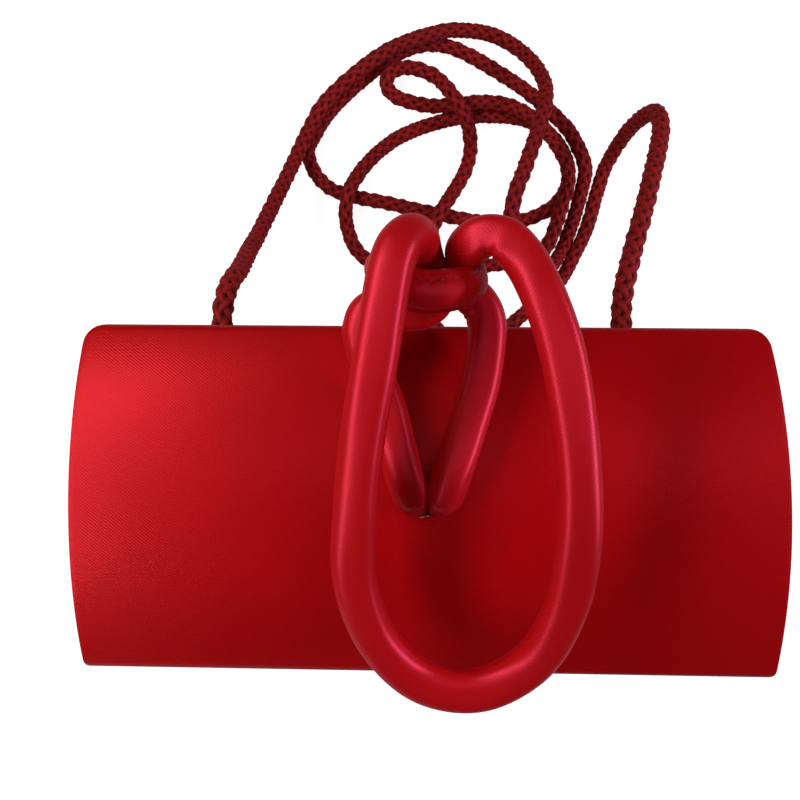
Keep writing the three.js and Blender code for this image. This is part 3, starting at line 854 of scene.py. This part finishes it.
seam_rings = np.arange(UNSEWN_RINGS, len(handle_line) - UNSEWN_RINGS, int(round(STITCH / HANDLE_STEP)))
seam_facing = outward[seam_rings, seam_side[seam_rings]]
seam_points = rings[seam_rings, seam_side[seam_rings]] + seam_facing * STITCH_LIFT
stitch_mesh = stitch_row("tube_stitches", seam_points, seam_facing, STITCH_LENGTH, STITCH_THICK)
red_thread = fibre_material(
    "red_thread", dark=(0.16, 0.003, 0.006), light=(0.42, 0.02, 0.03), roughness=0.5, scale=3000, detail=1
)
add_piece("tube_stitches", stitch_mesh, red_thread, "flap", "satin_tube")
print("stitches", len(seam_rings))

# %% [markdown]
# Where the slit was cut, a tiny fleck of the bare board shows in front of the tails. It is two short
# fibres, laid end to end on the satin.

# %% Fleck of board
FLECK = np.array([[-1.9, -3.75, 128.44], [-0.5, -3.45, 128.44]]) * MM
FLECK_LENGTH, FLECK_THICK = 1.5 * MM, 0.55 * MM
UP = (0, 0, 1)

bare_board = fibre_material(
    "bare_board", dark=(0.36, 0.18, 0.07), light=(0.6, 0.36, 0.17), roughness=0.8, scale=2400, detail=2
)
fleck_mesh = stitch_row("board_fleck", FLECK, [UP, UP], FLECK_LENGTH, FLECK_THICK)
add_piece("board_fleck", fleck_mesh, bare_board, "flap", "satin")
print("fleck at", FLECK.mean(axis=0))

# %% [markdown]
# ## The box
# Under the flap the bag is a stiff box with rounded corners. A rounded rectangle is drawn as one face,
# its rim is drawn up in steps, and the top of each side follows the flap's dome. Solidify makes the
# wall.

# %% Open box
CORNER_SEGMENTS = 6
FOLD_SEGMENTS = 4
WALL_CUTS = 30
BASE_FOLD = 1.6 * MM


def open_box(name, half_x, front, back, corner, rows, top, foot):
    """A box without a lid: a rounded outline drawn up row by row to the height that top gives."""
    bm = bmesh.new()
    bmesh.ops.create_grid(bm, x_segments=1, y_segments=1, size=0.5)
    for v in bm.verts:
        v.co = (v.co.x * 2 * half_x, (front + back) / 2 + v.co.y * (back - front), foot)
    bmesh.ops.bevel(
        bm, geom=list(bm.verts), offset=corner, segments=CORNER_SEGMENTS, profile=0.5, affect="VERTICES",
        material=-1,
    )
    straight = [e for e in bm.edges if e.calc_length() > 4 * corner]
    bmesh.ops.subdivide_edges(bm, edges=straight, cuts=WALL_CUTS)
    rim = list(bm.edges)
    for row in range(1, rows + 1):
        drawn = bmesh.ops.extrude_edge_only(bm, edges=rim)["geom"]
        rim = [g for g in drawn if isinstance(g, bmesh.types.BMEdge)]
        for v in [g for g in drawn if isinstance(g, bmesh.types.BMVert)]:
            v.co.z = foot + (top(v.co.x, v.co.y) - foot) * row / rows
    bmesh.ops.recalc_face_normals(bm, faces=bm.faces)
    base = max(bm.faces, key=lambda f: f.calc_area())
    if base.normal.z > 0:
        bmesh.ops.reverse_faces(bm, faces=bm.faces)
    bmesh.ops.bevel(
        bm, geom=list(base.edges), offset=BASE_FOLD, segments=FOLD_SEGMENTS, profile=0.5, affect="EDGES",
        material=-1,
    )
    return finished_mesh(bm, name)


def lay_panel_weave(mesh):
    """A UV map in metres for flat panels, each laid out by the way it faces."""
    layer = mesh.uv_layers.new(name="weave")
    for face in mesh.polygons:
        facing = int(np.argmax(np.abs(face.normal)))
        for loop in face.loop_indices:
            place = mesh.vertices[mesh.loops[loop].vertex_index].co
            layer.data[loop].uv = [place[axis] for axis in range(3) if axis != facing]


print("base fold", round(BASE_FOLD / MM, 1), "mm")

# %% Box walls
BODY_HALF_WIDTH = 86.2 * MM
FRONT_FACE = -37.8 * MM
WALL, WALL_EDGE = 2.2 * MM, 0.6 * MM
PANEL_TOP = 112.7 * MM
LID_GAP = 2.95 * MM
BOX_CORNER = 3.5 * MM
BOX_ROWS = 12
SIDE_FULL = 0.8 * MM


def side_top(y):
    """The height of a side wall below the flap."""
    reach = DOME_RADIUS - LID_GAP
    edge = INNER_ROUND - LID_GAP
    edge_y, edge_z, _ = edge_centre(INNER_ROUND)
    if y > edge_y:
        return edge_z + math.sqrt(max(0.0, edge**2 - (y - edge_y) ** 2))
    return DOME_CENTRE + math.sqrt(reach**2 - y**2)


def box_top(x, y):
    """The height of the box's rim, which climbs to the side walls in the corners."""
    side = ease(abs(x), BODY_HALF_WIDTH - BOX_CORNER, BODY_HALF_WIDTH - SIDE_FULL)
    return PANEL_TOP + (side_top(y) - PANEL_TOP) * side


box_mesh = open_box("satin_box", BODY_HALF_WIDTH, FRONT_FACE, HALF_DEPTH, BOX_CORNER, BOX_ROWS, box_top, 0)
lay_panel_weave(box_mesh)
box_nodes = ("base_panel", "front_panel", "back_panel", "left_gusset", "right_gusset")
box = add_piece("satin_box", box_mesh, satin, "body", "satin", *box_nodes)
board(box, WALL, WALL_EDGE)
print("box points", len(box_mesh.vertices))

# %% [markdown]
# ## The pouch
# Inside hangs a thin cloth lining. It is the same open box, smaller, and its walls lean in a little
# between the base and the rim, as cloth does that is sewn only at its edges.

# %% Lining pouch
POUCH_TOP, POUCH_FOOT = 96 * MM, 2.7 * MM
POUCH_CORNER, POUCH_EDGE = 3 * MM, 0.15 * MM
POUCH_ROWS = 16
POUCH_MIDDLE = (FRONT_FACE + HALF_DEPTH) / 2
POUCH_LEAN = 1.2 * MM
RIPPLE, RIPPLE_X, RIPPLE_Y = 0.4, 11 * MM, 7 * MM
SHORT_WALL, LONG_WALL = 80 * MM, 35.34 * MM

inside = WALL + SEAM
pouch_mesh = open_box(
    "pouch", BODY_HALF_WIDTH - inside, FRONT_FACE + inside, HALF_DEPTH - inside, POUCH_CORNER, POUCH_ROWS,
    lambda x, y: POUCH_TOP, POUCH_FOOT,
)
for v in pouch_mesh.vertices:
    x, y, z = v.co
    ripple = 1 - RIPPLE + RIPPLE * math.sin(x / RIPPLE_X + y / RIPPLE_Y)
    lean = POUCH_LEAN * math.sin(math.pi * min(1, z / POUCH_TOP)) * ripple
    v.co.x -= math.copysign(lean, x) * (abs(x) > SHORT_WALL)
    v.co.y -= math.copysign(lean, y - POUCH_MIDDLE) * (abs(y - POUCH_MIDDLE) > LONG_WALL)
lay_panel_weave(pouch_mesh)
pouch = add_piece("pouch", pouch_mesh, lining_cloth, "body", "lining_cloth", "lining")
board(pouch, LINING, POUCH_EDGE)
wide, deep, tall = np.ptp([v.co for v in pouch_mesh.vertices], axis=0).tolist()

# %% [markdown]
# ## The cloth hinge
# A strip of lining cloth is glued to the back wall and to the flap, and joins them at the hinge.

# %% Cloth hinge
STRIP_FOOT, STRIP_TOP = 106 * MM, 116.4 * MM
STRIP_INSET = 1 * MM
STRIP_HALF = BODY_HALF_WIDTH - WALL - STRIP_INSET
STRIP_CLOTH = 0.4 * MM
STRIP_CELLS = 40
STRIP_STEP = 1 * MM
GLUE = 0.1 * MM


def strip_line(z):
    """How far back the strip lies at a height: on the wall, then on the flap's lining."""
    inside_flap = FLAP_BOARD + SEAM + LINING + GLUE
    on_wall, on_flap = HALF_DEPTH - WALL - GLUE, HALF_DEPTH - inside_flap
    rounding = INNER_ROUND - inside_flap
    over = max(0.0, z - edge_centre(INNER_ROUND)[1])
    lean = rounding - math.sqrt(rounding**2 - over**2)
    return on_wall + (on_flap - on_wall) * ease(z, HINGE_HEIGHT - STRIP_STEP, HINGE_HEIGHT + SEAM) - lean


bm = bmesh.new()
bmesh.ops.create_grid(bm, x_segments=STRIP_CELLS, y_segments=STRIP_CELLS, size=0.5)
for v in bm.verts:
    z = STRIP_FOOT + (v.co.y + 0.5) * (STRIP_TOP - STRIP_FOOT)
    v.co = (2 * v.co.x * STRIP_HALF, strip_line(z), z)
bmesh.ops.recalc_face_normals(bm, faces=bm.faces)
if sum(f.normal.y for f in bm.faces) < 0:
    bmesh.ops.reverse_faces(bm, faces=bm.faces)
strip_length = sum(f.calc_area() for f in bm.faces) / (2 * STRIP_HALF)
bmesh.ops.solidify(bm, geom=list(bm.faces), thickness=STRIP_CLOTH)
strip_mesh = finished_mesh(bm, "hinge_strip")
lay_panel_weave(strip_mesh)
strip = add_piece("hinge_strip", strip_mesh, lining_cloth, None, "lining_cloth")
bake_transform(strip)
print("hinge strip", round(2 * STRIP_HALF, 4), "x", round(strip_length, 4), "m")

# %% [markdown]
# ## Eyelets and magnets
# The cord leaves the back wall through two metal eyelets, and two thin magnets close the apron. Each is
# turned: a half outline spun once round its own axis.

# %% Metal finish
DARKER = 0.85
POLISHED, SCUFFED = 0.08, 0.12
SPIN_STEPS = 48
TOUCHING = 1e-6


def metal_material(name, colour, roughness):
    """Polished metal with small scuffs."""
    material, tree, shader = new_material(name)
    marks = noise(tree, place_on_piece(tree), scale=900, detail=3)
    low, high = roughness - POLISHED, roughness + SCUFFED
    dull = node(tree, "ShaderNodeMapRange", None, Value=marks, To_Min=low, To_Max=high)
    tone = ramp(tree, marks, *NOISE_SPAN, [(0, [c * DARKER for c in colour]), (1, colour)])
    tree.links.new(tone, shader.inputs["Base Color"])
    tree.links.new(dull.outputs[0], shader.inputs["Roughness"])
    bump(tree, shader, marks, strength=0.1, distance=0.05 * MM)
    set_sockets(shader, Metallic=1)
    return material


def turned_along_y(name, outline, centre):
    """Spins an outline of radius and depth pairs about an axis along Y."""
    bm = bmesh.new()
    verts = [bm.verts.new((r, y, 0)) for r, y in outline]
    edges = [bm.edges.new(pair) for pair in zip(verts, verts[1:])]
    bmesh.ops.spin(
        bm, geom=verts + edges, cent=(0, 0, 0), axis=(0, 1, 0), angle=2 * math.pi, steps=SPIN_STEPS,
        use_merge=True,
    )
    bmesh.ops.remove_doubles(bm, verts=bm.verts, dist=TOUCHING)
    bmesh.ops.recalc_face_normals(bm, faces=bm.faces)
    bmesh.ops.translate(bm, verts=bm.verts, vec=centre)
    return finished_mesh(bm, name)


brass = metal_material("eyelet_brass", (0.43, 0.25, 0.07), roughness=0.3)
steel = metal_material("magnet_steel", (0.55, 0.55, 0.56), roughness=0.3)
print("metals", brass.name, steel.name)

# %% Eyelets
EYELET_BORE, EYELET_BARREL = 4 * MM, 4.8 * MM
ROLL_MIDDLE, ROLL_WIDE, ROLL_HIGH = 5 * MM, 1 * MM, 0.5 * MM
ROLL_POINTS = 10

inner_face, seat = HALF_DEPTH - WALL, HALF_DEPTH + SEAM
rolled = [
    (ROLL_MIDDLE + ROLL_WIDE * math.cos(turn), seat + ROLL_HIGH * math.sin(turn))
    for turn in np.linspace(0, math.pi, ROLL_POINTS)
]
barrel = [(EYELET_BORE, inner_face), (EYELET_BARREL, inner_face), (EYELET_BARREL, seat)]
for side, (x, _, z) in (("left", STRAP_POINTS[0]), ("right", STRAP_POINTS[-1])):
    ring_mesh = turned_along_y(f"{side}_eyelet_ring", barrel + rolled + barrel[:1], (x * MM, 0, z * MM))
    add_piece(f"{side}_eyelet_ring", ring_mesh, brass, "body", "eyelet_metal", f"{side}_eyelet")
print("eyelet points", len(ring_mesh.vertices))

# %% Magnets
MAGNET_RADIUS, MAGNET_FACE, MAGNET_EDGE = 7 * MM, 6.6 * MM, 0.15 * MM

for name, body, solid in (("apron_magnet", "flap", "flap_magnet"), ("wall_magnet", "body", "front_magnet")):
    (_, front, low), (_, back, high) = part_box(solid)
    disc = [
        (0, front), (MAGNET_FACE, front), (MAGNET_RADIUS, front + MAGNET_EDGE),
        (MAGNET_RADIUS, back - MAGNET_EDGE), (MAGNET_FACE, back), (0, back),
    ]
    disc_mesh = turned_along_y(name, disc, (0, 0, (low + high) / 2))
    add_piece(name, disc_mesh, steel, body, "magnet_metal", solid)
    print(name, "at height", round((low + high) / 2, 4), "m")

# %% [markdown]
# ## Table and light
# The table and the room behind it are plain white to the camera, and fainter in reflections, so that
# the tube's rims stay red. Three panels on the left give soft light, which leaves the right half of the
# flap darker. A wide panel overhead lights the crest, a low one lights the front wall, and a thin strip
# on the right draws the bright line along the tube's right edges.

# %% Table
CAMERA_WHITE = 0.9
TABLE_MIRRORED = 0.12
TABLE_GREY = 0.42
TABLE_HALF = 2.5
TABLE_GAP = 0.3 * MM


def arithmetic(tree, operation, first, second):
    return node(tree, "ShaderNodeMath", {"operation": operation}, i0=first, i1=second).outputs[0]


def pale_glow(tree, mirrored_white):
    """White for the camera, and a fainter white in reflections."""
    ray = node(tree, "ShaderNodeLightPath").outputs
    mirrored = arithmetic(tree, "MAXIMUM", ray["Is Glossy Ray"], ray["Is Transmission Ray"])
    faint = arithmetic(tree, "MULTIPLY", mirrored, mirrored_white)
    plain = arithmetic(tree, "MULTIPLY", ray["Is Camera Ray"], CAMERA_WHITE)
    return arithmetic(tree, "MAXIMUM", plain, faint)


def table_material():
    material, tree, shader = new_material("white_table")
    set_sockets(shader, Base_Color=(TABLE_GREY, TABLE_GREY, TABLE_GREY, 1), Roughness=0.9)
    set_sockets(shader, Specular_IOR_Level=0.1, Emission_Color=(1, 1, 1, 1))
    tree.links.new(pale_glow(tree, TABLE_MIRRORED), shader.inputs["Emission Strength"])
    return material


bm = bmesh.new()
below = Matrix.Translation((0, 0, -TABLE_GAP))
bmesh.ops.create_grid(bm, x_segments=1, y_segments=1, size=TABLE_HALF, matrix=below)
table_mesh = finished_mesh(bm, "table")
table_mesh.materials.append(table_material())
table = bpy.data.objects.new("table", table_mesh)
bpy.context.collection.objects.link(table)
print("table", [round(v, 2) for v in table.dimensions], "m")

# %% Lamps
FLAP_MIDDLE, BODY_MIDDLE = (0, 0, 0.13), (0, 0, 0.06)


def soft_box(name, place, aim, size, power, colour):
    """A rectangular lamp, in metres and watts, turned to face what it lights."""
    lamp = bpy.data.lights.new(name, "AREA")
    lamp.shape = "RECTANGLE"
    lamp.size, lamp.size_y = size
    lamp.energy = power
    lamp.color = colour
    made = bpy.data.objects.new(name, lamp)
    made.location = place
    made.rotation_euler = (Vector(aim) - Vector(place)).to_track_quat("-Z", "Y").to_euler()
    bpy.context.collection.objects.link(made)


soft_box("window_left", (-0.20, 0.02, 0.34), FLAP_MIDDLE, (0.45, 0.06), 0.6, (1, 0.86, 0.84))
soft_box("window_corner", (-0.22, 0.22, 0.38), FLAP_MIDDLE, (0.3, 0.15), 0.22, (1, 0.8, 0.6))
soft_box("window_top", (0, 0.10, 0.62), FLAP_MIDDLE, (0.8, 0.2), 0.34, (1, 0.9, 0.92))
soft_box("window_front", (-0.25, -0.26, 0.34), FLAP_MIDDLE, (0.2, 0.1), 0.05, (1, 0.9, 0.9))
soft_box("window_low", (-0.25, -0.55, 0.07), BODY_MIDDLE, (0.5, 0.1), 0.12, (1, 0.92, 0.92))
soft_box("window_right", (0.47, 0.04, 0.33), FLAP_MIDDLE, (0.45, 0.04), 1.5, (1, 0.78, 1))

# %% Room
ROOM_MIRRORED = 0.04
ROOM_FILL = 0.03

world = bpy.data.worlds.new("room")
world.use_nodes = True
backdrop = world.node_tree.nodes["Background"]
backdrop.inputs["Color"].default_value = (1, 1, 1, 1)
lit = arithmetic(world.node_tree, "MAXIMUM", pale_glow(world.node_tree, ROOM_MIRRORED), ROOM_FILL)
world.node_tree.links.new(lit, backdrop.inputs["Strength"])
bpy.context.scene.world = world
bpy.context.scene.view_settings.view_transform = "Standard"
print("room fill", ROOM_FILL)
